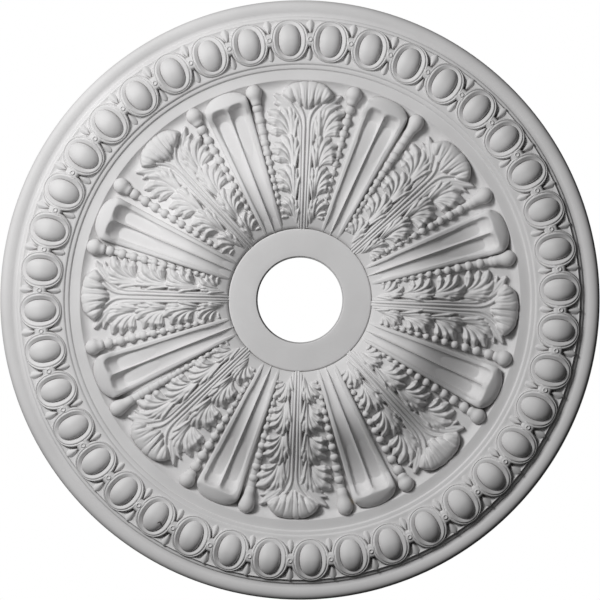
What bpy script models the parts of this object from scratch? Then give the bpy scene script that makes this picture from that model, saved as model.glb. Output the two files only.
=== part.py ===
"""A cast ceiling rose, 700 mm across, in metres with +Z up.

The flat back lies on the ceiling plane z = 0 and the carved face looks down. Round the centre hole
come a flat ring, eight acanthus leaves with a fluted lobe between each two, strings of beads beside
the lobes, a flat band, an egg-and-dart band and a roll at the rim. The face is a height above the
back plane, worked out by formula at each point, and the points follow the outlines of the carving.
"""

import math

import bmesh
import bpy
from mathutils import Vector
from mathutils.geometry import delaunay_2d_cdt

for thing in list(bpy.data.objects):
    bpy.data.objects.remove(thing)

# Widths of the turned parts, from the rim inward and from the hole outward.
OUTER_RADIUS = 0.350
ROLL_WIDTH = 0.0160
ROLL_ROUND = 0.0075
ROLL_TURN = 0.0022
EGG_BAND_WIDTH = 0.0615
FLAT_BAND_WIDTH = 0.0155
HOLE_RADIUS = 0.0508
HOLE_DRAFT = 0.0012
RING_WIDTH = 0.0320

# Heights of the turned parts above the back plane.
EDGE_HEIGHT = 0.0095
ROLL_HEIGHT = 0.0167
ROLL_VALLEY_HEIGHT = 0.0152
EGG_BAND_HEIGHT = 0.0286
BAND_HEIGHT = 0.0120
RING_HEIGHT = 0.0237

# Eggs, the grooves round them, the husks round those, and the darts between the husks.
EGG_LENGTH = 0.0390
EGG_WIDTH = 0.0262
EGG_RISE = 0.0020
GROOVE_DEPTH = 0.0045
GROOVE_WIDTH = 0.0025
HUSK_LENGTH = 0.0510
HUSK_GAP = 0.0026
HUSK_STAND = 0.0040
DART_START = 0.0095
DART_END = 0.0235
DART_WIDTH = 0.0120

# Heights of the field's three ogee surfaces: at the ring, at the crest and in the valley.
LEAF_CREST_HEIGHT = 0.0462
LEAF_VALLEY_HEIGHT = 0.0143
LEAF_TIP_HEIGHT = 0.0196
LOBE_CREST_HEIGHT = 0.0421
LOBE_VALLEY_HEIGHT = 0.0122
LOBE_CAP_HEIGHT = 0.0202
GROUND_CREST_HEIGHT = 0.0372
GROUND_VALLEY_HEIGHT = 0.0062
LEAF_SIDE_FALL = 0.0040

# The fluted lobes.
LOBE_INNER_WIDTH = 0.0245
LOBE_OUTER_WIDTH = 0.0520
LOBE_LIP_WIDTH = 0.0055
FLUTE_DEPTH = 0.0030

# The bead strings, which grow outward: sizes and spacing as shares of a bead's place.
BEAD_SHARE = 0.0250
BEAD_PITCH_SHARE = 0.066
DROP_RADIUS = 0.0068
BEAD_ANGLE = math.radians(8.3)

# Counts.
LEAVES = 8
LOBE_STATIONS = 4
EGGS_PER_LEAF = 5
RIM_SIDES = 80
HOLE_SIDES = 40
EGG_SIDES = 8
BEAD_SIDES = 4

# Places along the field, as shares of the way from the ring to the flat band.
CREST_SHARE = 0.30
LEAF_VALLEY_SHARE = 0.79
GROUND_VALLEY_SHARE = 0.84
GROUND_RISE_SHARE = 0.94
CAP_SHARE = 0.895
CAP_END_SHARE = 0.985
LOBE_START_SHARE = 0.02
FIRST_BEAD_SHARE = 0.38
LAST_BEAD_SHARE = 0.84
DROP_SHARE = 0.935

# The leaf's carving, drawn on a grid of 150 squares from the ring to the flat band, as (side, along).
# Each fan of leaflets grows from its eye to its tips.
GRID_SQUARES = 150
LEAF_FANS = (
    {"eye": (8, 8), "tips": ((10.5, 29), (21.5, 25), (20, 13))},
    {"eye": (9.5, 30), "tips": ((12.5, 62), (26, 58), (26.5, 49), (23.5, 36))},
    {"eye": (12.5, 60), "tips": ((14, 90), (31, 90), (33.5, 80), (30.5, 68))},
    {"eye": (13.5, 89), "tips": ((18, 120), (36, 121), (39.5, 109), (36, 97))},
)
TIP_FAN = {"eye": (0, 118), "tips": ((3.5, 144.5), (15, 143), (24, 136))}
SIDE_LEAFLET = {"root": (11, 108), "tip": (34, 131)}
LEAFLET_ROOT_WIDTH = 0.0030
LEAFLET_WIDTH = 0.0080
LEAFLET_STAND = 0.0055
LEAFLET_BEND = (0.30, 0.75)
NOTCH_SHARE = 0.90
MIDRIB_WIDTH = 0.0190
MIDRIB_GROOVE = 0.0022
MIDRIB_STATIONS = (0.04, 0.16, CREST_SHARE, 0.78)

# Places that follow from the sizes above.
ROLL_RADIUS = OUTER_RADIUS - ROLL_ROUND
EGG_BAND_OUTER = OUTER_RADIUS - ROLL_WIDTH
BAND_RADIUS = EGG_BAND_OUTER - EGG_BAND_WIDTH
EGG_BAND_RADIUS = (EGG_BAND_OUTER + BAND_RADIUS) / 2
FIELD_RADIUS = BAND_RADIUS - FLAT_BAND_WIDTH
RING_RADIUS = HOLE_RADIUS + RING_WIDTH
LEAF_LENGTH = FIELD_RADIUS - RING_RADIUS
SECTOR = 2 * math.pi / LEAVES
EGG_PITCH = SECTOR / EGGS_PER_LEAF
HUSK_WIDTH = EGG_PITCH * EGG_BAND_RADIUS - HUSK_GAP

# How far an outline's foot lies outside the shape, and how wide an egg's upper outline is.
FOOT = 0.0008
DOME_SCALE = 0.55


def between(low, high, share):
    return low + (high - low) * share


def field_radius(share):
    return between(RING_RADIUS, FIELD_RADIUS, share)


def field_share(radius):
    return (radius - RING_RADIUS) / LEAF_LENGTH


def ogee(share, crest, valley, valley_share):
    """A steep rise from the ring to the crest, then a wave down to the valley."""
    if share < CREST_SHARE:
        left = 1 - max(share, 0.0) / CREST_SHARE
        return between(RING_HEIGHT, crest, 1 - left**2.35)
    along = min((share - CREST_SHARE) / (valley_share - CREST_SHARE), 1.0)
    return between(valley, crest, 0.5 + 0.5 * math.cos(math.pi * along))


def ground_depth(share):
    """The field under the leaves and lobes: a dish that meets the flat band."""
    low = ogee(share, GROUND_CREST_HEIGHT, GROUND_VALLEY_HEIGHT, GROUND_VALLEY_SHARE)
    if share > GROUND_RISE_SHARE:
        up = min((share - GROUND_RISE_SHARE) / (1 - GROUND_RISE_SHARE), 1.0)
        return between(low, BAND_HEIGHT, up * up)
    return low


def dome(share):
    """Quarter-round falling from 1 at the middle to 0 at the edge."""
    return math.sqrt(max(1 - share * share, 0.0))


def lobe_half_width(along):
    share = (along - RING_RADIUS) / (field_radius(CAP_SHARE) - RING_RADIUS)
    return between(LOBE_INNER_WIDTH, LOBE_OUTER_WIDTH, min(max(share, 0.0), 1.0)) / 2


def lobe_depth(side, along):
    """Two flutes with a thin ridge between them, rolled lips and a rounded cap."""
    half = lobe_half_width(along)
    cap_start = field_radius(CAP_SHARE)
    cap_length = field_radius(CAP_END_SHARE) - cap_start
    share = field_share(along)
    ground = ground_depth(share)
    if along > cap_start:
        out = math.hypot(side / half, (along - cap_start) / cap_length)
        return between(ground, LOBE_CAP_HEIGHT, dome(out)) if out < 1 else 0.0
    if side > half or share < LOBE_START_SHARE:
        return 0.0
    top = ogee(share, LOBE_CREST_HEIGHT, LOBE_VALLEY_HEIGHT, LEAF_VALLEY_SHARE)
    lip = half - LOBE_LIP_WIDTH
    if side > lip:
        return max(between(ground, top, dome((side - lip) / LOBE_LIP_WIDTH)), ground)
    flute = top - FLUTE_DEPTH * math.sin(math.pi * side / lip)
    return max(flute, ground)


def leaf_top(side, share):
    top = ogee(share, LEAF_CREST_HEIGHT, LEAF_VALLEY_HEIGHT, LEAF_VALLEY_SHARE)
    return top - LEAF_SIDE_FALL * (side / (0.2 * LEAF_LENGTH)) ** 2


def bend(root, tip):
    """Three points of a leaflet's spine: it leaves its root along the leaf and bends outward."""
    middle = [between(a, b, part) for a, b, part in zip(root, tip, LEAFLET_BEND)]
    return [
        tuple(
            (1 - t) ** 2 * a + 2 * t * (1 - t) * m + t * t * b
            for a, m, b in zip(root, middle, tip)
        )
        for t in (0.0, 0.5, 1.0)
    ]


def in_metres(point):
    """From the grid to (side, along), with along measured from the rose's centre."""
    square = LEAF_LENGTH / GRID_SQUARES
    return point[0] * square, RING_RADIUS + point[1] * square


def leaflets():
    """Each leaflet's spine in metres, with whether it belongs to the curled tip."""
    spines = []
    for fan in LEAF_FANS + (TIP_FAN,):
        for tip in fan["tips"]:
            spines.append(([in_metres(p) for p in bend(fan["eye"], tip)], fan is TIP_FAN))
    root, tip = SIDE_LEAFLET["root"], SIDE_LEAFLET["tip"]
    spines.append(([in_metres(p) for p in bend(root, tip)], False))
    return spines


LEAFLETS = leaflets()


def stroke(side, along, spine):
    """How high a leaflet stands at a point, from 0 outside it to 1 on its spine."""
    best = 0.0
    pieces = len(spine) - 1
    for index in range(pieces):
        ax, ay = spine[index]
        bx, by = spine[index + 1]
        dx, dy = bx - ax, by - ay
        part = ((side - ax) * dx + (along - ay) * dy) / (dx * dx + dy * dy)
        part = min(max(part, 0.0), 1.0)
        away = math.hypot(side - ax - part * dx, along - ay - part * dy)
        half = between(LEAFLET_ROOT_WIDTH, LEAFLET_WIDTH, (index + part) / pieces) / 2
        best = max(best, dome(min(away / half, 1.0)))
    return best


def leaf_depth(side, along):
    """The leaf's highest leaflet at a point, or 0 beside the leaf."""
    share = field_share(along)
    ground = ground_depth(share)
    height = 0.0
    for spine, curled in LEAFLETS:
        stand = stroke(side, along, spine)
        if stand == 0.0:
            continue
        top = LEAF_TIP_HEIGHT if curled else leaf_top(side, share)
        low = ground if curled else max(ground, top - LEAFLET_STAND)
        height = max(height, between(low, top, stand))
    if side < MIDRIB_WIDTH / 2 and 0 < share < LEAF_VALLEY_SHARE:
        groove = MIDRIB_GROOVE * math.cos(2 * math.pi * side / MIDRIB_WIDTH) ** 2
        height = max(height, leaf_top(0.0, share) - groove)
    return height


def bead_places():
    """(place, ball radius) along a string, from the drop at its outer end inward."""
    places = [(field_radius(DROP_SHARE), DROP_RADIUS)]
    place = field_radius(LAST_BEAD_SHARE)
    while place > field_radius(FIRST_BEAD_SHARE):
        places.append((place, BEAD_SHARE * place))
        place *= 1 - BEAD_PITCH_SHARE
    return places


BEADS = bead_places()


def bead_depth(radius, angle_from_lobe):
    height = 0.0
    for place, ball in BEADS:
        across = radius * math.sin(angle_from_lobe - BEAD_ANGLE)
        along = radius * math.cos(angle_from_lobe - BEAD_ANGLE) - place
        away = math.hypot(across, along)
        if away < ball:
            ground = ground_depth(field_share(place))
            height = max(height, ground + ball * 1.3 * dome(away / ball))
    return height


def arch_depth(radius):
    """The egg band's section, an arch from foot to foot."""
    if radius < EGG_BAND_RADIUS:
        share = (EGG_BAND_RADIUS - radius) / (EGG_BAND_RADIUS - BAND_RADIUS)
        return between(BAND_HEIGHT, EGG_BAND_HEIGHT, dome(share))
    share = (radius - EGG_BAND_RADIUS) / (EGG_BAND_OUTER - EGG_BAND_RADIUS)
    return between(ROLL_VALLEY_HEIGHT, EGG_BAND_HEIGHT, dome(share))


def egg_depth(radius, angle):
    """The arch with an egg in a grooved husk at each pitch, and darts in the hollows between."""
    off = (angle + EGG_PITCH / 2) % EGG_PITCH - EGG_PITCH / 2
    across = EGG_BAND_RADIUS * off
    along = radius - EGG_BAND_RADIUS
    arch = arch_depth(radius)
    egg = math.hypot(2 * across / EGG_WIDTH, 2 * along / EGG_LENGTH)
    if egg <= 1:
        return arch - GROOVE_DEPTH + (GROOVE_DEPTH + EGG_RISE) * dome(egg)
    if (egg - 1) * EGG_WIDTH / 2 < GROOVE_WIDTH / 2:
        return arch - GROOVE_DEPTH
    if math.hypot(2 * across / HUSK_WIDTH, 2 * along / HUSK_LENGTH) <= 1:
        return arch
    gap = (EGG_PITCH / 2 - abs(off)) * EGG_BAND_RADIUS
    reach = (abs(along) - DART_START) / (DART_END - DART_START)
    if 0 < reach <= 1:
        return arch - HUSK_STAND * min(2 * gap / (DART_WIDTH * reach), 1.0)
    return arch - HUSK_STAND


def turned_depth(radius):
    """The flat parts inside the egg band, and the roll outside it."""
    if radius <= RING_RADIUS:
        return RING_HEIGHT
    if radius <= BAND_RADIUS:
        return BAND_HEIGHT
    if radius < ROLL_RADIUS:
        share = (ROLL_RADIUS - radius) / (ROLL_RADIUS - EGG_BAND_OUTER)
        return between(ROLL_VALLEY_HEIGHT, ROLL_HEIGHT, dome(share))
    share = (radius - ROLL_RADIUS) / (OUTER_RADIUS - ROLL_RADIUS)
    return between(EDGE_HEIGHT, ROLL_HEIGHT, dome(share))


def face_height(x, y):
    """Height of the face above the back plane."""
    radius = math.hypot(x, y)
    angle = math.atan2(y, x)
    if BAND_RADIUS < radius < EGG_BAND_OUTER:
        return egg_depth(radius, angle + EGG_PITCH / 2)
    if not RING_RADIUS < radius < FIELD_RADIUS:
        return turned_depth(radius)
    off = abs((angle + SECTOR / 2) % SECTOR - SECTOR / 2)
    from_lobe = SECTOR / 2 - off
    leaf = leaf_depth(radius * math.sin(off), radius * math.cos(off))
    lobe = lobe_depth(radius * math.sin(from_lobe), radius * math.cos(from_lobe))
    beads = bead_depth(radius, from_lobe)
    return max(leaf, lobe, beads, ground_depth(field_share(radius)))


class Plan:
    """The outlines of the carving, seen from the front, as points and the edges between them."""

    def __init__(self):
        self.points = []
        self.edges = []

    def line(self, points, closed=False):
        start = len(self.points)
        self.points.extend(points)
        count = len(points)
        self.edges.extend((start + i, start + i + 1) for i in range(count - 1))
        if closed:
            self.edges.append((start + count - 1, start))

    def triangles(self):
        """Points and triangles of the plan, with every outline kept as edges."""
        made = delaunay_2d_cdt([Vector(p) for p in self.points], self.edges, [], 0, 1e-6)
        return [tuple(p) for p in made[0]], [tuple(f) for f in made[2]]


def circle(radius, sides, middle=(0.0, 0.0)):
    turn = 2 * math.pi / sides
    return [
        (middle[0] + radius * math.cos(i * turn), middle[1] + radius * math.sin(i * turn))
        for i in range(sides)
    ]


def placed(points, angle, mirrored=False):
    """Points given as (side, along) from the centre, with their axis turned to an angle."""
    sign = -1 if mirrored else 1
    cosine, sine = math.cos(angle), math.sin(angle)
    return [
        (along * cosine - sign * side * sine, along * sine + sign * side * cosine)
        for side, along in points
    ]


def egg_outline(width, length, sides):
    """An ellipse round the middle of an egg, as (side, along)."""
    turn = 2 * math.pi / sides
    return [
        (width / 2 * math.cos(i * turn), EGG_BAND_RADIUS + length / 2 * math.sin(i * turn))
        for i in range(sides)
    ]


def draw_rings(plan):
    plan.line(circle(HOLE_RADIUS, HOLE_SIDES), closed=True)
    plan.line(circle(RING_RADIUS, HOLE_SIDES), closed=True)
    rim = (FIELD_RADIUS, BAND_RADIUS, EGG_BAND_OUTER, ROLL_RADIUS)
    for radius in rim + (OUTER_RADIUS - ROLL_TURN, OUTER_RADIUS):
        plan.line(circle(radius, RIM_SIDES), closed=True)


def draw_egg(plan, angle):
    """The egg's dome, its foot in the groove, and the husk's top and foot."""
    for width, length, sides in (
        (DOME_SCALE * EGG_WIDTH, DOME_SCALE * EGG_LENGTH, EGG_SIDES // 2),
        (EGG_WIDTH + FOOT / 2, EGG_LENGTH + FOOT / 2, EGG_SIDES),
        (EGG_WIDTH + 2 * GROOVE_WIDTH, EGG_LENGTH + 2 * GROOVE_WIDTH, EGG_SIDES),
        (HUSK_WIDTH + FOOT, HUSK_LENGTH + FOOT, EGG_SIDES),
    ):
        plan.line(placed(egg_outline(width, length, sides), angle), closed=True)


def draw_darts(plan, angle):
    for way in (-1, 1):
        near = EGG_BAND_RADIUS + way * DART_START
        far = EGG_BAND_RADIUS + way * DART_END
        plan.line(placed([(0.0, near), (0.0, far)], angle))


def draw_beads(plan, angle):
    for place, ball in BEADS:
        middle = (place * math.cos(angle), place * math.sin(angle))
        plan.line(circle(ball + FOOT / 2, BEAD_SIDES, middle), closed=True)
        plan.line([middle])


def draw_lobe(plan, angle):
    end = CAP_SHARE - 0.03
    shares = [between(LOBE_START_SHARE, end, i / LOBE_STATIONS) for i in range(LOBE_STATIONS + 1)]
    stations = [field_radius(share) for share in shares]
    for along_lines in (
        lambda half: half + FOOT,
        lambda half: half - LOBE_LIP_WIDTH / 2,
        lambda half: (half - LOBE_LIP_WIDTH) / 2,
    ):
        for mirrored in (False, True):
            line = [(along_lines(lobe_half_width(along)), along) for along in stations]
            plan.line(placed(line, angle, mirrored))
    plan.line(placed([(0.0, along) for along in stations], angle))
    cap_start = field_radius(CAP_SHARE)
    half = lobe_half_width(cap_start)
    length = field_radius(CAP_END_SHARE) - cap_start
    for scale, count in ((1.0 + FOOT / length, 6), (0.85, 4)):
        arc = []
        for i in range(count + 1):
            turn = math.pi * i / count
            place = (scale * half * math.cos(turn), cap_start + FOOT + scale * length * math.sin(turn))
            arc.append(place)
        plan.line(placed(arc, angle))
    plan.line(placed([(0.0, cap_start + 0.3 * length)], angle))


def toward(start, end, share):
    return tuple(between(a, b, share) for a, b in zip(start, end))


def draw_fan(plan, fan, angle, mirrored):
    """Ridges along the leaflets, valleys between them and the outline round their tips."""
    eye = in_metres(fan["eye"])
    spines = [[in_metres(p) for p in bend(fan["eye"], tip)] for tip in fan["tips"]]
    outline = []
    for spine, following in zip(spines, spines[1:] + [None]):
        plan.line(placed(spine, angle, mirrored))
        grow = 1 + (LEAFLET_WIDTH / 2 + FOOT) / math.dist(eye, spine[-1])
        outline.append(toward(eye, spine[-1], grow))
        if following:
            notch = toward(eye, toward(spine[-1], following[-1], 0.5), NOTCH_SHARE)
            valley = toward(spine[1], following[1], 0.5)
            plan.line(placed([valley, notch], angle, mirrored))
            outline.append(notch)
    plan.line(placed(outline, angle, mirrored))


def draw_leaf(plan, angle):
    for mirrored in (False, True):
        for fan in LEAF_FANS + (TIP_FAN,):
            draw_fan(plan, fan, angle, mirrored)
        spine = [in_metres(p) for p in bend(SIDE_LEAFLET["root"], SIDE_LEAFLET["tip"])]
        plan.line(placed(spine, angle, mirrored))
        for side in (MIDRIB_WIDTH / 4, MIDRIB_WIDTH / 2 + FOOT):
            rib = [(side, field_radius(share)) for share in MIDRIB_STATIONS]
            plan.line(placed(rib, angle, mirrored))
    plan.line(placed([(0.0, field_radius(share)) for share in MIDRIB_STATIONS], angle))


def rose_plan():
    plan = Plan()
    draw_rings(plan)
    for leaf in range(LEAVES):
        leaf_angle = leaf * SECTOR
        lobe_angle = leaf_angle + SECTOR / 2
        draw_leaf(plan, leaf_angle)
        draw_lobe(plan, lobe_angle)
        draw_beads(plan, lobe_angle - BEAD_ANGLE)
        draw_beads(plan, lobe_angle + BEAD_ANGLE)
        for egg in range(EGGS_PER_LEAF):
            draw_darts(plan, leaf_angle + egg * EGG_PITCH)
            draw_egg(plan, leaf_angle + (egg + 0.5) * EGG_PITCH)
    return plan


def back_plan():
    plan = Plan()
    plan.line(circle(HOLE_RADIUS, HOLE_SIDES), closed=True)
    plan.line(circle(OUTER_RADIUS, RIM_SIDES), closed=True)
    return plan


def outside_hole(points, triangles):
    """Leaves out the triangles whose corners all lie on the hole's edge."""
    limit = HOLE_RADIUS + 1e-5
    return [t for t in triangles if any(math.hypot(*points[i]) > limit for i in t)]


def add_material():
    material = bpy.data.materials.new("white_primer")
    material.use_nodes = True
    shader = material.node_tree.nodes["Principled BSDF"]
    shader.inputs["Base Color"].default_value = (0.80, 0.795, 0.78, 1.0)
    shader.inputs["Roughness"].default_value = 0.62
    shader.inputs["Metallic"].default_value = 0.0
    return material


def back_point(x, y):
    """The back's corners keep the plan, apart from the hole, which narrows towards the back."""
    radius = math.hypot(x, y)
    scale = (HOLE_RADIUS - HOLE_DRAFT) / HOLE_RADIUS if radius < HOLE_RADIUS + 1e-5 else 1.0
    return x * scale, y * scale, 0.0


def near_rim(edge):
    return edge.verts[0].co.xy.length > (HOLE_RADIUS + OUTER_RADIUS) / 2


def add_rose():
    mesh = bmesh.new()
    points, triangles = rose_plan().triangles()
    front = [mesh.verts.new((x, y, -face_height(x, y))) for x, y in points]
    for triangle in outside_hole(points, triangles):
        mesh.faces.new([front[i] for i in triangle])
    points, triangles = back_plan().triangles()
    back = [mesh.verts.new(back_point(x, y)) for x, y in points]
    for triangle in outside_hole(points, triangles):
        mesh.faces.new([back[i] for i in triangle])
    mesh.edges.ensure_lookup_table()
    open_edges = [edge for edge in mesh.edges if len(edge.link_faces) == 1]
    bmesh.ops.bridge_loops(mesh, edges=[e for e in open_edges if near_rim(e)])
    bmesh.ops.bridge_loops(mesh, edges=[e for e in open_edges if not near_rim(e)])
    bmesh.ops.triangulate(mesh, faces=mesh.faces[:])
    bmesh.ops.recalc_face_normals(mesh, faces=mesh.faces[:])
    data = bpy.data.meshes.new("ceiling_rose")
    mesh.to_mesh(data)
    mesh.free()
    data.shade_smooth()
    data.set_sharp_from_angle(angle=math.radians(32))
    data.materials.append(add_material())
    rose = bpy.data.objects.new("ceiling_rose", data)
    bpy.context.scene.collection.objects.link(rose)


add_rose()
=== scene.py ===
"""The looks of a cast ceiling rose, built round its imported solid.

The drawing is 600 steps across. A place on a leaf or lobe is (side, along), in steps, with along measured
from the rose's centre, and a height is in steps above the flat band. The carved face looks down.
"""

import math

import bmesh
import bpy
import numpy as np
from mathutils import Matrix, Vector


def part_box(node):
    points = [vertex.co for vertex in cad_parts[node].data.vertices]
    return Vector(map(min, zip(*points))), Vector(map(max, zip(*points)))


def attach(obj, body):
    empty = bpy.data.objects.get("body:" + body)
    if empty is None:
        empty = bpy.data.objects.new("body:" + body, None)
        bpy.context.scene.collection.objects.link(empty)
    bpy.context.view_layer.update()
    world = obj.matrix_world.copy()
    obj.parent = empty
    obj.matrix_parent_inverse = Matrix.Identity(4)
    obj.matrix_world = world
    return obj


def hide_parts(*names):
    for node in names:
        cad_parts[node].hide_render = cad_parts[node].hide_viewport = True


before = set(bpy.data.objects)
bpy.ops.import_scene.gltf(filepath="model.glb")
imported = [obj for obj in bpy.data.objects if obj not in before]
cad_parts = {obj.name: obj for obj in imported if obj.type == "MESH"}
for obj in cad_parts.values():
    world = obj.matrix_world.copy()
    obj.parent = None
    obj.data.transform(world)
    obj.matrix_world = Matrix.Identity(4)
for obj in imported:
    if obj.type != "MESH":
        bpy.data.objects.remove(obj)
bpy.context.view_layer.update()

RIM_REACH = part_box("ceiling_rose")[1].x

# The drawing's scale, the flat band's depth below the ceiling plane, and the height at which carved pieces
# end inside the body.
STEPS = 300
STEP = RIM_REACH / STEPS
BAND_DEPTH = 0.0120
BACK = -BAND_DEPTH / STEP
SUNK = -9.0

# Radii of the turned parts.
HOLE = 43.5
HOLE_BACK = 42.5
RING = 71.0
FIELD = 220.3
BAND = 233.6
EGG_CIRCLE = 259.9
EGG_BAND_OUTER = 283.2

# Heights of the turned parts.
RING_HEIGHT = 10.0
ARCH_HEIGHT = 14.2
ARCH_OUTER_FOOT = 5.2
ARCH_INNER_FOOT = 3.2
ARCH_POWER = 1.75
EGG_BED = 6.3
EGG_BED_EDGE = 1.2
EGG_BED_MIDDLE = 258.3
EGG_BED_REACH = 21.5
EGG_BED_POWER = 2.5

# Counts.
LEAVES = 8
EGGS = 40
TURNS = 240

# The ogee surfaces that the leaves, lobes and ground follow.
CREST = 115.8
LEAF_VALLEY = 189.1
GROUND_VALLEY = 196.6
GROUND_RISE = 211.3
LEAF_CREST_HEIGHT = 26.7
LEAF_VALLEY_HEIGHT = 1.7
LOBE_CREST_HEIGHT = 25.8
LOBE_VALLEY_HEIGHT = 0.2
GROUND_CREST_HEIGHT = 20.6
GROUND_VALLEY_HEIGHT = -5.0
RISE_POWER = 2.35
LEAF_SIDE_FALL = 1.6
LEAF_SIDE_REACH = 34.0

# Angles.
SECTOR = 2 * math.pi / LEAVES
EGG_PITCH = 2 * math.pi / EGGS
SHARP_ANGLE = math.radians(60)

# The casting is a little uneven: how far each leaf and lobe stands off its even place, in degrees.
LEAF_DRIFT = (-0.8, 0.0, 0.0, 0.3, 0.6, 0.0, -0.3, -0.6)
LOBE_DRIFT = (-1.5, -0.6, 0.0, 0.8, 0.3, -0.8, -1.3, -1.4)


def between(low, high, share):
    return low + (high - low) * share


def passed(value, start, end):
    """How far a value has come from start to end, from 0 to 1."""
    return np.clip((value - start) / (end - start), 0.0, 1.0)


def ramp(value, start, end):
    """From 0 at start to 1 at end, smooth at both."""
    share = passed(value, start, end)
    return share * share * (3 - 2 * share)


def dome(share):
    """A quarter circle: 1 at 0 and 0 at 1."""
    return np.sqrt(np.clip(1 - share * share, 0.0, 1.0))


def ogee(radius, crest, valley, valley_radius):
    """A steep rise from the ring to the crest, then a wave down to the valley."""
    rise = between(RING_HEIGHT, crest, 1 - passed(radius, CREST, RING) ** RISE_POWER)
    wave = between(valley, crest, 0.5 + 0.5 * np.cos(math.pi * passed(radius, CREST, valley_radius)))
    return np.where(radius < CREST, rise, wave)


def ground(radius):
    """The casting between the leaves and lobes, which rises again to the flat band."""
    low = ogee(radius, GROUND_CREST_HEIGHT, GROUND_VALLEY_HEIGHT, GROUND_VALLEY)
    return between(low, 0.0, passed(radius, GROUND_RISE, FIELD) ** 2)


def arch(radius):
    """The egg band's rounded section."""
    inside = between(ARCH_HEIGHT, ARCH_INNER_FOOT, passed(radius, EGG_CIRCLE, BAND) ** ARCH_POWER)
    outside = between(ARCH_HEIGHT, ARCH_OUTER_FOOT, passed(radius, EGG_CIRCLE, EGG_BAND_OUTER) ** ARCH_POWER)
    return np.where(radius < EGG_CIRCLE, inside, outside)


def egg_bed(radius):
    """The ground between the husks, shallow at both edges of the egg band."""
    share = np.abs(radius - EGG_BED_MIDDLE) / EGG_BED_REACH
    return arch(radius) - between(EGG_BED_EDGE, EGG_BED, np.clip(1 - share**EGG_BED_POWER, 0, 1))


def to_world(side, along, height, angle):
    """Points of the drawing in metres, with their axis turned to an angle about the hole."""
    cosine, sine = math.cos(angle), math.sin(angle)
    return np.stack(
        [
            (along * cosine - side * sine) * STEP,
            (along * sine + side * cosine) * STEP,
            -BAND_DEPTH - height * STEP,
        ],
        axis=-1,
    )


class Build:
    """Collects closed shapes for one piece."""

    def __init__(self):
        self.points = []
        self.faces = []
        self.count = 0

    def add(self, points, faces):
        points = np.asarray(points, float).reshape(-1, 3)
        self.points.append(points)
        self.faces.extend([tuple(int(i) + self.count for i in face) for face in faces])
        self.count += len(points)

    def piece(self, name, material):
        mesh = bpy.data.meshes.new(name)
        mesh.from_pydata(np.concatenate(self.points).tolist(), [], self.faces)
        work = bmesh.new()
        work.from_mesh(mesh)
        bmesh.ops.recalc_face_normals(work, faces=work.faces[:])
        work.to_mesh(mesh)
        work.free()
        mesh.shade_smooth()
        mesh.set_sharp_from_angle(angle=SHARP_ANGLE)
        mesh.materials.append(material)
        made = bpy.data.objects.new(name, mesh)
        bpy.context.scene.collection.objects.link(made)
        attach(made, "root")
        return made


def all_round(count):
    """Even angles round a circle."""
    return np.arange(count) * (2 * math.pi / count)


def ring_faces(rows, around):
    """Faces between rings of points, row by row."""
    faces = []
    for row in range(rows - 1):
        for column in range(around):
            after = (column + 1) % around
            a, b = row * around + column, row * around + after
            faces.append((a, b, b + around, a + around))
    return faces


def closed_faces(rows, around):
    """Faces of rings of points whose last ring joins the first."""
    last = (rows - 1) * around
    closing = [(last + i, last + (i + 1) % around, (i + 1) % around, i) for i in range(around)]
    return ring_faces(rows, around) + closing


def tube_faces(rows, around):
    """Faces of a tube of rings with both ends closed."""
    last = (rows - 1) * around
    ends = [tuple(range(around)), tuple(last + i for i in range(around))]
    return ring_faces(rows, around) + ends


def domed_faces(rings, around):
    """Faces of a middle point and the rings round it, with the last ring closed below."""
    faces = [(0, 1 + i, 1 + (i + 1) % around) for i in range(around)]
    faces += [tuple(i + 1 for i in face) for face in ring_faces(rings, around)]
    last = 1 + (rings - 1) * around
    faces.append(tuple(last + i for i in range(around)))
    return faces


def slab(side, along, height, angle, starts=None, ends=None):
    """A closed solid with a carved top: a grid of points, walls down to a flat bottom sunk in the body.
    starts and ends give each row's first and last column where the carving is narrower than the grid."""
    rows, columns = side.shape
    top = to_world(side, along, height, angle).reshape(-1, 3)
    if starts is None:
        starts, ends = np.zeros(rows, int), np.full(rows, columns - 1)
    faces = []
    for row in range(rows - 1):
        first = max(starts[row], starts[row + 1])
        last = min(ends[row], ends[row + 1])
        base = row * columns
        for column in range(first, last):
            a = base + column
            faces.append((a, a + 1, a + columns + 1, a + columns))
    used = {}
    for face in faces:
        for index in range(4):
            edge = (face[index], face[(index + 1) % 4])
            if (edge[1], edge[0]) in used:
                del used[(edge[1], edge[0])]
            else:
                used[edge] = True
    following = {a: b for a, b in used}
    start = next(iter(following))
    loop = [start]
    while following[loop[-1]] != start:
        loop.append(following[loop[-1]])
    bottom = top[loop].copy()
    bottom[:, 2] = -BAND_DEPTH - SUNK * STEP
    count = len(top)
    ring = len(loop)
    for index in range(ring):
        after = (index + 1) % ring
        faces.append((loop[after], loop[index], count + index, count + after))
    faces.append(tuple(count + index for index in range(ring)))
    points = np.concatenate([top, bottom])
    kept = np.unique([i for face in faces for i in face])
    places = np.full(len(points), -1)
    places[kept] = np.arange(len(kept))
    return points[kept], [tuple(places[i] for i in face) for face in faces]


def through(points, count):
    """A smooth line through points, as an array of about count places."""
    points = np.asarray(points, float)
    ends = np.vstack([2 * points[0] - points[1], points, 2 * points[-1] - points[-2]])
    steps = max(2, count // (len(points) - 1))
    line = []
    for index in range(len(points) - 1):
        p0, p1, p2, p3 = ends[index : index + 4]
        for step in range(steps):
            t = step / steps
            straight = 2 * p1 + (p2 - p0) * t
            bend = (2 * p0 - 5 * p1 + 4 * p2 - p3) * t * t + (3 * p1 - p0 - 3 * p2 + p3) * t**3
            line.append(0.5 * (straight + bend))
    line.append(points[-1])
    return np.array(line)


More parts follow.
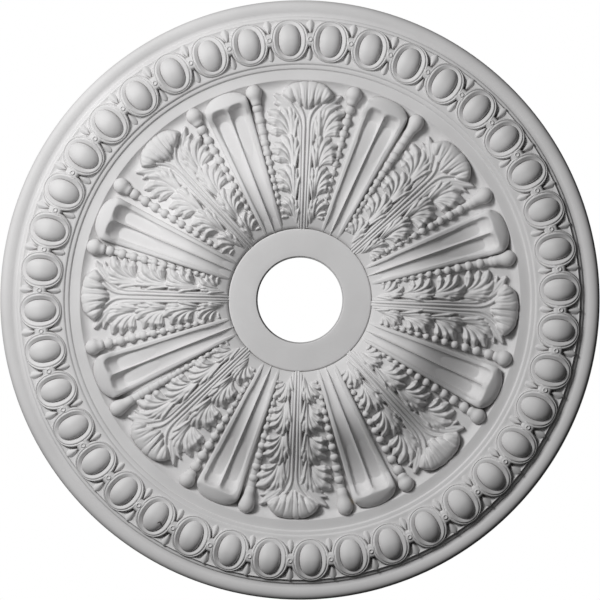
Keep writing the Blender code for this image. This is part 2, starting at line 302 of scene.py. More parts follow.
# The body: everything that is turned, as one profile from the hole round to the hole. The rows of points
# below are (radius, height), but for RING_EDGE, whose second number is how far it lies below the ring.
RING_FLAT = (50.0, 57.0, 64.0, 69.6)
RING_EDGE = ((70.5, 0.1), (71.0, 0.6), (71.6, 1.6))
FILLETS = (
    (226.0, 0.0), (230.0, 0.0), (230.5, 0.1), (230.8, 0.4), (231.5, 1.9), (231.9, 2.15), (234.5, 2.2),
    (235.1, 2.3), (235.5, 2.6), (236.2, 4.2), (236.7, 4.5),
)
RIM = (
    (279.0, 6.9), (279.3, 6.5), (280.0, 4.4), (280.4, 4.1), (281.5, 4.0), (282.6, 3.9), (282.9, 3.6),
    (283.5, 2.3), (283.9, 2.1), (285.5, 2.1), (287.2, 2.2),
)
HOLE_ROUND = 0.8
WALL_FOOT = 0.6
WALL_TOP = 0.9
GROUND_START = 72.4
GROUND_PITCH = 2.6
FOOT_START = 208
FOOT_PITCH = 1.0
BED_START = 237.0
ROLL_CREST = 293.4
ROLL_CREST_HEIGHT = 3.8
EDGE_HEIGHT = -2.2
BACK_WALL = ((STEPS, -5.0), (STEPS, BACK + 0.7), (STEPS - 0.6, BACK), (220.0, BACK), (130.0, BACK))
WALL_ROWS, ROUND_ROWS, BED_ROWS, ROLL_ROWS, EDGE_ROWS = 6, 5, 24, 8, 9


def body_profile():
    """(radius, height) from the back's inner edge, down the hole's wall and out to the rim."""
    line = [(HOLE_BACK, BACK)]
    for i in range(WALL_ROWS + 1):
        share = i / WALL_ROWS
        height = between(BACK + WALL_FOOT, RING_HEIGHT - WALL_TOP, share)
        line.append((between(HOLE_BACK, HOLE, share), height))
    for i in range(1, ROUND_ROWS + 1):
        turn = math.pi / 2 * i / ROUND_ROWS
        height = RING_HEIGHT - HOLE_ROUND * (1 - math.sin(turn))
        line.append((HOLE + HOLE_ROUND * (1 - math.cos(turn)), height))
    line += [(radius, RING_HEIGHT) for radius in RING_FLAT]
    line += [(radius, RING_HEIGHT - drop) for radius, drop in RING_EDGE]
    radius = GROUND_START
    while radius < FIELD:
        line.append((radius, float(ground(np.float64(radius)))))
        radius += GROUND_PITCH if radius < FOOT_START else FOOT_PITCH
    line += [(FIELD, 0.0), (FIELD + 0.7, 0.0)]
    line += FILLETS
    for i in range(1, BED_ROWS):
        radius = between(BED_START, RIM[0][0], i / BED_ROWS)
        line.append((radius, float(egg_bed(np.float64(radius)))))
    line += RIM
    start, low = RIM[-1]
    for i in range(1, ROLL_ROWS + 1):
        share = 1 - i / ROLL_ROWS
        radius = ROLL_CREST - (ROLL_CREST - start) * share
        line.append((radius, between(low, ROLL_CREST_HEIGHT, 1 - share**2)))
    for i in range(1, EDGE_ROWS + 1):
        share = math.sin(math.pi / 2 * i / EDGE_ROWS)
        radius = ROLL_CREST + (STEPS - ROLL_CREST) * share
        line.append((radius, between(EDGE_HEIGHT, ROLL_CREST_HEIGHT, float(dome(share)))))
    line += BACK_WALL
    return line


def add_body(material):
    profile = np.array(body_profile())
    turns = all_round(TURNS)
    radius, height = profile[:, 0][:, None], profile[:, 1][:, None]
    points = np.stack(
        [
            radius * np.cos(turns) * STEP,
            radius * np.sin(turns) * STEP,
            -BAND_DEPTH - height * STEP + 0 * turns,
        ],
        axis=-1,
    )
    build = Build()
    build.add(points, closed_faces(len(profile), TURNS))
    return build.piece("rose_body", material)


# Egg and dart. COLLAR is a husk's section: how far out from the egg's side, how far beyond its end, and the
# height above the arch. Nearer than COLLAR_SIDE it is shallower at the egg's ends, by COLLAR_END_SHARE.
EGG_PLACE = 259.4
EGG_HALF_WIDTH = 11.0
EGG_HALF_LENGTH = 16.1
EGG_FOOT = 4.2
EGG_END_FOOT = 1.5
EGG_TOP = 3.0
EGG_SINK = 1.2
EGG_SHOULDER = 1.25
OVAL_POWER = 0.93
EGG_AROUND, EGG_RINGS = 32, 9
COLLAR_AROUND = 48
COLLAR_SIDE = 3.9
COLLAR_END_SHARE = 0.36
COLLAR = (
    (-0.9, -0.8, -5.4), (-0.1, -0.1, -4.4), (0.5, 0.5, -3.0), (1.8, 1.3, -2.0), (3.1, 2.2, -0.8),
    (3.9, 2.9, -0.05), (4.6, 3.2, -0.1), (5.2, 3.5, -0.9), (5.6, 3.7, -1.15), (6.1, 4.0, -0.5),
    (6.8, 4.3, -0.2), (7.5, 4.6, -0.7), (8.0, 4.8, -2.2), (8.5, 5.0, -6.0),
)


def oval(out, beyond, count):
    """Points round an egg, out from its sides and beyond its ends, as side and along. The third array goes
    from 1 at the egg's sides to 0 at its ends."""
    cosine, sine = np.cos(all_round(count)), np.sin(all_round(count))
    side = (EGG_HALF_WIDTH + out) * np.sign(cosine) * np.abs(cosine) ** OVAL_POWER
    along = EGG_PLACE + (EGG_HALF_LENGTH + beyond) * np.sign(sine) * np.abs(sine) ** OVAL_POWER
    return side, along, cosine**2


def summit(along, above, angle):
    """The middle point of an egg or a boss."""
    return to_world(np.zeros(1), np.full(1, along), np.full(1, ARCH_HEIGHT + above), angle)


def add_eggs(material):
    build = Build()
    edge_side, edge_along, sideways = oval(0.0, 0.0, EGG_AROUND)
    foot = between(EGG_END_FOOT, EGG_FOOT, sideways)
    for egg in range(EGGS):
        angle = (egg + 0.5) * EGG_PITCH
        points = [summit(EGG_PLACE, EGG_TOP, angle)]
        for ring in range(1, EGG_RINGS + 1):
            out = math.sin(math.pi / 2 * ring / EGG_RINGS)
            side = edge_side * out
            along = between(EGG_PLACE, edge_along, out)
            height = arch(along) + EGG_TOP - (EGG_TOP + foot) * (1 - float(dome(out**EGG_SHOULDER)))
            if ring == EGG_RINGS:
                height = height - EGG_SINK
            points.append(to_world(side, along, height, angle))
        points.append(to_world(side, along, np.full(EGG_AROUND, SUNK), angle))
        build.add(np.concatenate(points), domed_faces(EGG_RINGS + 1, EGG_AROUND))
    build.piece("eggs", material)


def add_collars(material):
    build = Build()
    for egg in range(EGGS):
        angle = (egg + 0.5) * EGG_PITCH
        points = []
        for out, beyond, drop in COLLAR:
            side, along, sideways = oval(out, beyond, COLLAR_AROUND)
            depth = drop * between(COLLAR_END_SHARE, 1.0, sideways) if out < COLLAR_SIDE else drop
            points.append(to_world(side, along, arch(along) + depth, angle))
        for out, beyond, _ in (COLLAR[-1], COLLAR[0]):
            side, along, _ = oval(out, beyond, COLLAR_AROUND)
            points.append(to_world(side, along, np.full(COLLAR_AROUND, SUNK), angle))
        build.add(np.concatenate(points), closed_faces(len(points), COLLAR_AROUND))
    build.piece("egg_husks", material)


# Darts are (start, end, half width), the first toward the hole and the second toward the rim. Each ring of a
# boss is (radius, height above the arch).
DARTS = ((255.0, 239.6, 3.7), (265.0, 280.0, 4.5))
DART_ROWS, DART_COLUMNS = 13, 9
DART_WIDEST = 0.72
DART_FOOT = 0.3
DART_POWER = 1.2
DART_EDGE = 0.35
DART_SINK = 0.8
DART_HEIGHT = 4.9
DART_FALL = 2.0
DART_MIDDLE = 0.58
DART_BODY = 1.02
DART_TIP = 0.02
KEEL_POWER = 1.6
BRIDGE_REACH = 7.2
BRIDGE_HALF = 3.4
BRIDGE_FLARE = 2.6
BRIDGE_DROP = 0.55
BRIDGE_END = 0.72
BRIDGE_END_FALL = 5.0
BOSS_AROUND = 20
BOSS_RINGS = (
    (0.0, -1.0), (0.7, -1.2), (1.0, -1.0), (1.4, 0.0), (1.8, 0.5), (2.3, 0.4), (2.8, -0.3), (3.1, -1.1),
)


def dart(start, end, half, angle):
    """A keeled dart that widens from start to end, with a rounded foot."""
    share = np.linspace(0, 1, DART_ROWS)[:, None]
    across = np.linspace(-1, 1, DART_COLUMNS)[None, :]
    width = half * np.sin(math.pi / 2 * np.minimum(share / DART_WIDEST, 1)) ** DART_POWER
    foot = ((share - DART_WIDEST) / DART_FOOT) ** 2 * (share > DART_WIDEST)
    width = width * np.sqrt(np.clip(1 - foot, DART_TIP, 1)) + DART_EDGE
    along = between(start, end, share) + 0 * across
    side = width * (across if end > start else -across)
    keel = 1 - np.abs(across) ** KEEL_POWER
    body = np.sqrt(np.clip(DART_BODY - ((share - DART_MIDDLE) / DART_MIDDLE) ** 2, 0, 1))
    height = egg_bed(along) - DART_SINK + (DART_HEIGHT - DART_FALL * share) * keel * body
    return slab(side, along, height, angle)


def bridge(angle):
    """The web that joins two husks, where the boss sits."""
    share = np.linspace(-1, 1, DART_ROWS)[:, None]
    across = np.linspace(-1, 1, DART_COLUMNS)[None, :]
    along = EGG_CIRCLE + BRIDGE_REACH * share + 0 * across
    side = (BRIDGE_HALF + BRIDGE_FLARE * share**2) * across
    height = arch(along) - BRIDGE_DROP - BRIDGE_END_FALL * passed(np.abs(share), BRIDGE_END, 1.0) ** 2
    return slab(side, along, height, angle)


def boss(angle):
    """A small ringed boss with a dimple."""
    turn = all_round(BOSS_AROUND)
    points = [summit(EGG_CIRCLE, BOSS_RINGS[0][1], angle)]
    for radius, drop in BOSS_RINGS[1:]:
        along = EGG_CIRCLE + radius * np.sin(turn)
        points.append(to_world(radius * np.cos(turn), along, arch(along) + drop, angle))
    points.append(to_world(radius * np.cos(turn), along, np.full(BOSS_AROUND, SUNK), angle))
    return np.concatenate(points), domed_faces(len(BOSS_RINGS), BOSS_AROUND)


def add_darts(material):
    """Between each two husks, a ringed boss with a dart on each side of it."""
    build = Build()
    for index in range(EGGS):
        angle = index * EGG_PITCH
        for start, end, half in DARTS:
            build.add(*dart(start, end, half, angle))
        build.add(*bridge(angle))
        build.add(*boss(angle))
    build.piece("darts", material)


# The fluted lobes. A pair of places, such as CAP_RISES, is where along the lobe a change starts and ends.
LOBE_INNER_HALF = 10.5
LOBE_OUTER_HALF = 22.6
LOBE_CAP_START = 204.0
LOBE_CAP_END = 219.8
CAP_ROUND = 2.2
CAP_RISE = 8.8
CAP_RISES = (190.0, 206.5)
CAP_FALL = 6.5
CAP_FALLS = (206.0, 219.8)
CAP_FALL_POWER = 1.3
CAP_EDGE = 0.6
CAP_EDGE_FALL = 3.6
CROWN = 2.8
CROWN_RISES = (196.0, 207.0)
LIP_WIDTHS = (3.4, 5.4)
LIP_END = 201.0
LIP_ROUND = 0.55
LIP_FALL = 3.0
FLUTE_END = 205.0
FLUTE_CORNER = 5.0
FLUTE_SLANT = 1.0
FLUTE_FADES = (-4.2, 1.0)
FLUTE_DEPTHS = (3.2, 6.4)
FLUTE_DEEPENS = (140.0, 206.0)
FLUTE_POWER = 0.8
RIDGE_HEIGHT = 0.5
RIDGE_HALF = 1.3
LOBE_ROWS, CAP_ROWS, LOBE_COLUMNS = 40, 42, 51
LOBE_START = 71.4
CAP_ROWS_START = 191.0
LOBE_END = 219.75
COLUMN_CROWDING = math.pi / 2 * 0.96


def lobe_half(along):
    return between(LOBE_INNER_HALF, LOBE_OUTER_HALF, passed(along, RING, LOBE_CAP_START))


def lobe_height(side, along):
    """Two flutes with a thin ridge between them, rolled lips and a rounded cap."""
    off = np.abs(side)
    half = lobe_half(along)
    width = off / half
    top = ogee(along, LOBE_CREST_HEIGHT, LOBE_VALLEY_HEIGHT, LEAF_VALLEY)
    top = top + CAP_RISE * ramp(along, *CAP_RISES) - CAP_FALL * passed(along, *CAP_FALLS) ** CAP_FALL_POWER
    lip_width = between(*LIP_WIDTHS, passed(along, RING, LIP_END))
    lip = half - lip_width
    middle = np.abs((off - lip * 0.5) / (lip * 0.5))
    corner = FLUTE_END - FLUTE_CORNER * middle**4 + FLUTE_SLANT * width
    fade = 1 - ramp(along, corner + FLUTE_FADES[0], corner + FLUTE_FADES[1])
    depth = between(*FLUTE_DEPTHS, ramp(along, *FLUTE_DEEPENS))
    flute = depth * dome(np.clip(middle, 0, 1)) ** FLUTE_POWER * fade * (off < lip)
    ridge = RIDGE_HEIGHT * np.exp(-((off / RIDGE_HALF) ** 2)) * fade
    rounded = lip_width * LIP_ROUND
    roll = LIP_FALL * (1 - dome(np.clip((off - (half - rounded)) / rounded, 0, 1)))
    cap = passed(along, LOBE_CAP_START, LOBE_CAP_END)
    cap_edge = (width**CAP_ROUND * ramp(cap, 0, 0.5) + cap**CAP_ROUND) ** (1 / CAP_ROUND)
    end_fall = CAP_EDGE_FALL * (1 - dome(passed(cap_edge, CAP_EDGE, 1.0)))
    crown = CROWN * ramp(along, *CROWN_RISES) * width**2
    return top - flute + ridge - np.maximum(roll, end_fall) - crown


def lobe_angle(lobe):
    return (lobe + 0.5) * SECTOR + math.radians(LOBE_DRIFT[lobe])


def add_lobes(material):
    rows_main = np.linspace(LOBE_START, CAP_ROWS_START - 1, LOBE_ROWS)
    rows_cap = np.linspace(CAP_ROWS_START, LOBE_END, CAP_ROWS)
    along = np.concatenate([rows_main, rows_cap])[:, None]
    across = np.sin(np.linspace(-1, 1, LOBE_COLUMNS) * COLUMN_CROWDING) / math.sin(COLUMN_CROWDING)
    cap = passed(along, LOBE_CAP_START, LOBE_CAP_END)
    half = lobe_half(along) * (1 - cap**CAP_ROUND) ** (1 / CAP_ROUND)
    side = half * across[None, :]
    along = along + 0 * side
    height = lobe_height(side, along)
    build = Build()
    for lobe in range(LEAVES):
        build.add(*slab(side, along, height, lobe_angle(lobe)))
    build.piece("fluted_lobes", material)


# Strings of beads. A lobe has one on each side, -1 or 1. STRING_ANGLES says how far each stands from its
# lobe's axis, in degrees. BEAD_SHARES gives a bead's radius, as a share of how far it is from the centre.
STRING_ANGLES = (
    (8.7, 9.4), (9.1, 8.3), (10.0, 8.5), (10.0, 8.1), (9.0, 8.1), (8.9, 8.8), (8.7, 8.7), (9.0, 8.9),
)
BEAD_FIRST = 97.0
BEAD_LAST = 196.6
BEAD_PITCH_SHARE = 0.066
BEAD_SHARES = {-1: 0.0268, 1: 0.0278}
BEAD_RISE = 0.35
BEAD_AROUND, BEAD_ROWS = 14, 8
POLE = 0.02

# The cord inside a string, whose thickness is a share of its beads', and the drop at the string's end.
CORD_SHARE = 0.6
CORD_START = 0.6
CORD_GROWS = (120.0, 185.0)
CORD_RISE = 0.15
CORD_AROUND, CORD_ROWS = 10, 40
DROP_PLACE = 212.2
CORD_END = DROP_PLACE - 4
DROP_HEIGHT = -1.2
DROP_RADIUS = 8.1
DROP_NECK = 3.6
DROP_AROUND, DROP_ROWS = 24, 20
NECK_SHARE = 0.66
NECK_NARROWS = (0.1, 0.62)
NECK_END = 0.7

# Strings that ran together in the mould, by lobe and side: how thick the cord is, and the drop's neck.
MERGED = {
    (1, 1): (0.84, 6.0),
    (2, 1): (0.94, 11.0),
    (3, -1): (0.80, 8.0),
    (3, 1): (0.80, 9.0),
    (5, 1): (0.84, 11.0),
    (6, -1): (0.88, 11.0),
    (7, -1): (0.94, 11.0),
}


def ball(along, height, radius, angle, neck=0.0):
    """A bead; one with a neck is a drop, which narrows toward the hole over that length."""
    around, rows = (DROP_AROUND, DROP_ROWS) if neck else (BEAD_AROUND, BEAD_ROWS)
    turn = all_round(around)
    points = []
    for row in range(rows + 1):
        polar = math.pi * row / rows
        axis = radius * math.cos(polar)
        ring = radius * max(math.sin(polar), POLE)
        if neck and axis < 0:
            share = -axis / radius
            axis = -share * (radius + neck)
            ring = between(radius, NECK_SHARE * radius, float(ramp(share, *NECK_NARROWS)))
            ring *= max(float(dome(max(share - NECK_END, 0.0) / (1 - NECK_END))), POLE)
        place = along + axis + 0 * turn
        points.append(to_world(ring * np.cos(turn), place, height + ring * np.sin(turn), angle))
    return np.concatenate(points), tube_faces(rows + 1, around)


def string_tube(angle, way, share):
    """The cord that joins the beads, thick where a string has run together in the mould."""
    turn = all_round(CORD_AROUND)
    points = []
    for place in np.linspace(BEAD_FIRST, CORD_END, CORD_ROWS):
        bead = BEAD_SHARES[way] * place
        radius = bead * between(CORD_START * share, share, float(ramp(place, *CORD_GROWS)))
        height = float(ground(np.float64(place))) + CORD_RISE * bead + radius * np.sin(turn)
        points.append(to_world(radius * np.cos(turn), place + 0 * turn, height, angle))
    return np.concatenate(points), tube_faces(CORD_ROWS, CORD_AROUND)


def add_beads(material):
    build = Build()
    for lobe in range(LEAVES):
        for way in (-1, 1):
            angle = lobe_angle(lobe) + way * math.radians(STRING_ANGLES[lobe][way > 0])
            share, neck = MERGED.get((lobe, way), (CORD_SHARE, DROP_NECK))
            place = BEAD_LAST
            while place > BEAD_FIRST:
                radius = BEAD_SHARES[way] * place
                height = float(ground(np.float64(place))) + BEAD_RISE * radius
                build.add(*ball(place, height, radius, angle))
                place *= 1 - BEAD_PITCH_SHARE
            build.add(*ball(DROP_PLACE, DROP_HEIGHT, DROP_RADIUS, angle, neck))
            build.add(*string_tube(angle, way, share))
    build.piece("bead_strings", material)


# The leaves. Each fan has an eye, narrow upright leaflets beside the midrib and broad ones outward.
# A leaflet is (side, along, half its width).
LEAF_FANS = (
    {
        "eye": (8.5, 79.0),
        "upright": ((5.4, 92, 1.6), (8.8, 98.5, 2.0), (12.6, 100.5, 2.0)),
        "broad": ((18.0, 99.5, 2.5), (23.5, 94, 2.6), (24.0, 86.5, 2.6), (21.5, 79.5, 2.4)),
    },
    {
        "eye": (10.0, 102.0),
        "upright": ((5.4, 122, 1.7), (9.0, 129.5, 2.2), (13.4, 132.5, 2.2)),
        "broad": ((19.0, 131.5, 2.7), (25.5, 126, 2.9), (26.5, 118, 2.9), (24.0, 110, 2.7)),
    },
    {
        "eye": (11.5, 132.0),
        "upright": ((7.6, 154, 1.9), (11.6, 161, 2.4), (16.5, 163, 2.4)),
        "broad": ((22.5, 161, 3.0), (30.0, 155, 3.2), (31.0, 146.5, 3.2), (29.0, 138, 3.0)),
    },
    {
        "eye": (13.5, 160.0),
        "upright": ((9.2, 183, 2.1), (13.8, 189, 2.6), (19.2, 190.5, 2.6)),
        "broad": ((26.5, 191.5, 3.2), (35.6, 186, 3.7), (36.4, 176.5, 3.6), (33.8, 167, 3.3)),
    },
)
RIBBONS = (
    ((2.2, 160), (2.3, 178), (4.6, 187.5), (10, 195), (17, 200.5), (24, 204.5)),
    ((5.5, 158), (5.9, 174), (9.4, 185), (16.5, 193), (24, 198.8), (32.5, 204.5)),
    ((7.0, 160), (9.0, 176), (16, 188), (25, 194.0), (32.5, 196.0)),
)
LEAF_START = 70.6
LEAF_END = 219.4
LEAF_HALVES = (28.0, 42.5)
LEAF_WIDENS = (95, 175)
LEAF_ROWS, LEAF_COLUMNS = 292, 165

# A leaf's grid shows where it stands above the ground by GROUND_GAP, and at least LEAST_COLUMNS columns on
# each side of the middle. Elsewhere it lies below the ground by EDGE_DROP.
LEAST_COLUMNS = 6
GROUND_GAP = 0.05
EDGE_DROP = 0.8

# What lies under the leaflets: a plate to the leaf's outline, the stem, and the throat where it spreads.
PLATE_PLACES = (71, 84, 100, 128, 133, 156, 163, 186, 198)
PLATE_HALVES = (13, 15, 11, 15, 12, 18, 14, 22, 12)
UNDER_GROUND = 1.0
NOWHERE = -99.0
PLATE_END = 200
PLATE_DROP = 8.5
PLATE_SLOPE = 2.0
STEM_HALVES = (3.8, 5.6)
STEM_WIDENS = (105.0, 160.0)
STEM_DROP = 2.6
STEM_SLOPE = 1.8
STEM_END = 193
STEM_END_SLOPE = 2.0
THROAT = (172, 206)
THROAT_HALVES = (4.0, 19.0)
THROAT_WIDENS = (172.0, 202.0)
THROAT_DROP = 1.9
THROAT_DEEPENS = (184, 198)
THROAT_DEEPER = 1.4
THROAT_SLOPE = 2.2


def leaf_top(side, along):
    top = ogee(along, LEAF_CREST_HEIGHT, LEAF_VALLEY_HEIGHT, LEAF_VALLEY)
    return top - LEAF_SIDE_FALL * (side / LEAF_SIDE_REACH) ** 2


def nearest(side, along, line):
    """Distance to a line, negative on its left, and how far along it the nearest point is, from 0 to 1."""
    lengths = np.hypot(*(line[1:] - line[:-1]).T)
    total = lengths.sum()
    best = np.full(side.shape, 1e9)
    left = np.zeros(side.shape, bool)
    place = np.zeros(side.shape)
    gone = 0.0
    for (ax, ay), (bx, by), length in zip(line[:-1], line[1:], lengths):
        dx, dy = bx - ax, by - ay
        part = np.clip(((side - ax) * dx + (along - ay) * dy) / (length * length), 0.0, 1.0)
        away = np.hypot(side - ax - part * dx, along - ay - part * dy)
        closer = away < best
        best = np.where(closer, away, best)
        left = np.where(closer, dx * (along - ay) - dy * (side - ax) > 0, left)
        place = np.where(closer, (gone + part * length) / total, place)
        gone += length
    return np.where(left, -best, best), place


def carve(height, side, along, line, profile, reach):
    """Raises the height grid to a stroke along a line, where the stroke stands higher."""
    rows = (along[:, 0] > line[:, 1].min() - reach) & (along[:, 0] < line[:, 1].max() + reach)
    columns = (side[rows].max(0) > line[:, 0].min() - reach) & (side[rows].min(0) < line[:, 0].max() + reach)
    window = np.ix_(rows, columns)
    away, place = nearest(side[window], along[window], line)
    stood = leaf_top(side[window], along[window]) + profile(away, place)
    height[window] = np.maximum(height[window], stood)


# How leaflets are carved. A share such as POINT_START is a place from a leaflet's root, 0, to its tip, 1.
WALL_SLOPE = 3.6
ROOT_WIDTH = 0.26
WIDENS = (0.1, 0.7)
POINT_START = 0.84
POINT_NARROWING = 0.18
ROOT_DROP = 4.8
ROOT_RISES = (0.0, 0.6)
DROOP_START = 0.8
THICKNESS = 0.038
THICKENS = (0.35, 0.85)
KNUCKLE_HEIGHT = 0.9
KNUCKLE_REACH = 0.08
SECTION_POWER = 2.4
TILTS = (0.2, 0.6)
GROOVE_SIDE = 0.22
GROOVE_HALF = 0.8
GROOVE_STARTS = (0.1, 0.3)
GROOVE_ENDS = (0.84, 0.97)

# The skin between two leaflets.
WEB_DROP = 2.2
WEB_POINTS = 12
WEB_ROOT_WIDTH = 0.3
WEB_WIDENS = (0.1, 0.8)
WEB_ROOT_END = 0.75
WEB_TIP_START = 0.8
WEB_TIP_DROP = 1.2
WEB_SLOPE = 0.6 * WALL_SLOPE

# The two kinds of leaflet: how it stands, droops and is crowned, its groove, its tilt and its breadth.
# Each upright one stands lower than the one before it by UPRIGHT_FALL.
UPRIGHT = {"stand": 1.2, "droop": 1.2, "crown": 3.4, "groove": 0.0, "tilt": 0.3, "broader": 1.0}
BROAD = {"stand": 0.0, "droop": 2.6, "crown": 4.4, "groove": 1.2, "tilt": 1.6, "broader": 1.2}
UPRIGHT_FALL = 0.2
UPRIGHT_INWARD = 1.0
LEAFLET_POINTS = 14
STROKE_REACH = 4.0

# Where a leaflet's root lies from its fan's eye, and how far the next one's is from that. BOW says how far
# from root to tip its line bows out, sideways and along.
ROOT = (-1.2, -12.0)
ROOT_PITCH = (0.5, 1.8)
BOW = (0.30, 0.84)
BOW_RISE = 0.6

# How much eyes, tips, heights and breadths differ at random.
EYE_SPREAD = 0.4
TIP_SPREAD = 1.1
STANDS = (-0.7, 0.5)
BREADTHS = (0.9, 1.08)


def leaflet_profile(half, stand, kind, mirror):
    """A leaflet's section: rounded, grooved along its spine and tilted. It rises to its tip, which droops."""
    tilt = kind["tilt"] * mirror

    def profile(offset, place):
        away = np.abs(offset)
        width = half * between(ROOT_WIDTH, 1.0, ramp(place, *WIDENS))
        width = width * (1 - POINT_NARROWING * ramp(place, POINT_START, 1.0))
        share = np.minimum(away / width, 1)
        rise = stand - ROOT_DROP * (1 - ramp(place, *ROOT_RISES))
        rise = rise - kind["droop"] * passed(place, DROOP_START, 1.0) ** 2
        rise = rise + THICKNESS * half**3 * ramp(place, *THICKENS)
        rise = rise + KNUCKLE_HEIGHT * np.exp(-(((place - POINT_START) / KNUCKLE_REACH) ** 2))
        section = -kind["crown"] * share**SECTION_POWER - WALL_SLOPE * np.maximum(away - width, 0)
        slant = -tilt * np.clip(offset / width, -1, 1) * ramp(place, *TILTS)
        beside = (offset - GROOVE_SIDE * mirror * width) / GROOVE_HALF
        line = kind["groove"] * np.exp(-(beside**2)) * ramp(place, *GROOVE_STARTS)
        return rise + section + slant - line * (1 - ramp(place, *GROOVE_ENDS))

    return profile


def web_profile(half):
    """The skin between two leaflets, a little below them."""

    def profile(offset, place):
        width = half * between(WEB_ROOT_WIDTH, 1.0, ramp(place, *WEB_WIDENS))
        rise = -WEB_DROP - ROOT_DROP * (1 - ramp(place, 0.0, WEB_ROOT_END))
        rise = rise - WEB_TIP_DROP * ramp(place, WEB_TIP_START, 1.0)
        return rise - WEB_SLOPE * np.maximum(np.abs(offset) - width, 0)

    return profile


# Ribbons run from the stem to pointed tips beside the curl, and ribs run along the stem.
RIBBON_START_HALF = 1.5
RIBBON_END_HALVES = (1.6, 4.2, 2.4)
RIBBON_STANDS = (0.3, 0.0, -0.3)
RIBBON_WIDENS = (0.5, 0.82)
RIBBON_POINT = 0.84
RIBBON_POINTING = 0.7
RIBBON_CROWN = 1.7
RIBBON_GROOVE = 0.9
RIBBON_GROOVE_HALF = 0.6
RIBBON_GROOVE_STARTS = (0.5, 0.7)
RIBBON_GROOVE_ENDS = (0.86, 0.96)
GROOVED_FROM = 2
RIBBON_POINTS = 24
RIBBON_REACH = 7.0
RIBS = ((1.5, 2.2), (3.9, 5.5))
RIB_PLACES = (RING, 110, 162)
RIB_BEND = 0.2
RIB_STAND = 0.5
RIB_LOWER = 0.08
RIB_HALF = 1.3
RIB_CROWN = 1.5
RIB_REACH = 5.0

# The dent by each fan's eye: how its two ends lie from the eye, and how far it shifts at random.
DENT_ENDS = ((0.74, -13.5), (0.78, -11.0))
DENT_SHIFT = 3.0
DENT_DEPTH = 1.0
DENT_HALF = 1.1


def ribbon_profile(stand, end_half):
    """A rib that leaves the stem and widens to a pointed, grooved tip."""

    def profile(offset, place):
        away = np.abs(offset)
        width = between(RIBBON_START_HALF, end_half, ramp(place, *RIBBON_WIDENS))
        width = width * (1 - RIBBON_POINTING * passed(place, RIBBON_POINT, 1.0))
        share = np.minimum(away / width, 1)
        groove = RIBBON_GROOVE * np.exp(-((away / RIBBON_GROOVE_HALF) ** 2)) * (end_half > GROOVED_FROM)
        groove = groove * ramp(place, *RIBBON_GROOVE_STARTS) * (1 - ramp(place, *RIBBON_GROOVE_ENDS))
        return stand - RIBBON_CROWN * share**2 - WALL_SLOPE * np.maximum(away - width, 0) - groove

    return profile


def rib_profile(stand):
    """A rounded rib of even width."""

    def profile(offset, place):
        away = np.abs(offset)
        section = -RIB_CROWN * np.minimum(away / RIB_HALF, 1) ** 2
        return stand + section - WALL_SLOPE * np.maximum(away - RIB_HALF, 0)

    return profile


# The curled tip closes like a fist: three fingers a side, which run from the back edge over the crest to
# a scalloped front edge. Places across it are measured at TIP_MIDDLE, and narrow toward TIP_CENTRE.
# A share such as TIP_CREST is a place from the front edge, 0, to the back edge, 1. FRONT and BACK_EDGE say
# where each edge lies at the middle and how it turns away at the sides.
TIP_CENTRE = 177.0
TIP_MIDDLE = 205.0
TIP_FOLDS = (0.0, 7.6, 15.6, 26.5)
TIP_HALF = 25.8
TIP_END = 17.5
TIP_HEIGHT = 8.4
TIP_EDGE_HEIGHT = -3.0
TIP_CREST = 0.36
TIP_FULLNESS = 0.8
TIP_BLUNTNESS = 0.6
FRONT = (189.6, 0.66, 0.013)
FRONT_SCALLOP = 2.4
BACK_EDGE = (219.2, 9.5, 2.6)
BACK_SCALLOP = 0.5
BEND_START = 198
BEND_LENGTH = 8.0
FOLD_ROUND = 0.95
FOLD_FADES = (0.35, 0.9)
FOLD_FADE = 0.75
CREASE_DEPTH = 0.7
CREASE_HALF = 0.2
CREASE_STARTS = (0.12, 0.3)
CREASE_ENDS = (0.5, 0.8)

# How much the fingers differ at random.
SHIFTS = (-1.8, 1.8)
SHIFT_GROWS = (2.0, 6.0)
BENDS = (0.8, 3.2)
BEND_GROWS = (1.0, 8.0)
FOLD_DEPTHS = (2.0, 4.4)
LIFTS = (-1.1, 0.7)
CREASE_PLACES = (-0.35, 0.35)


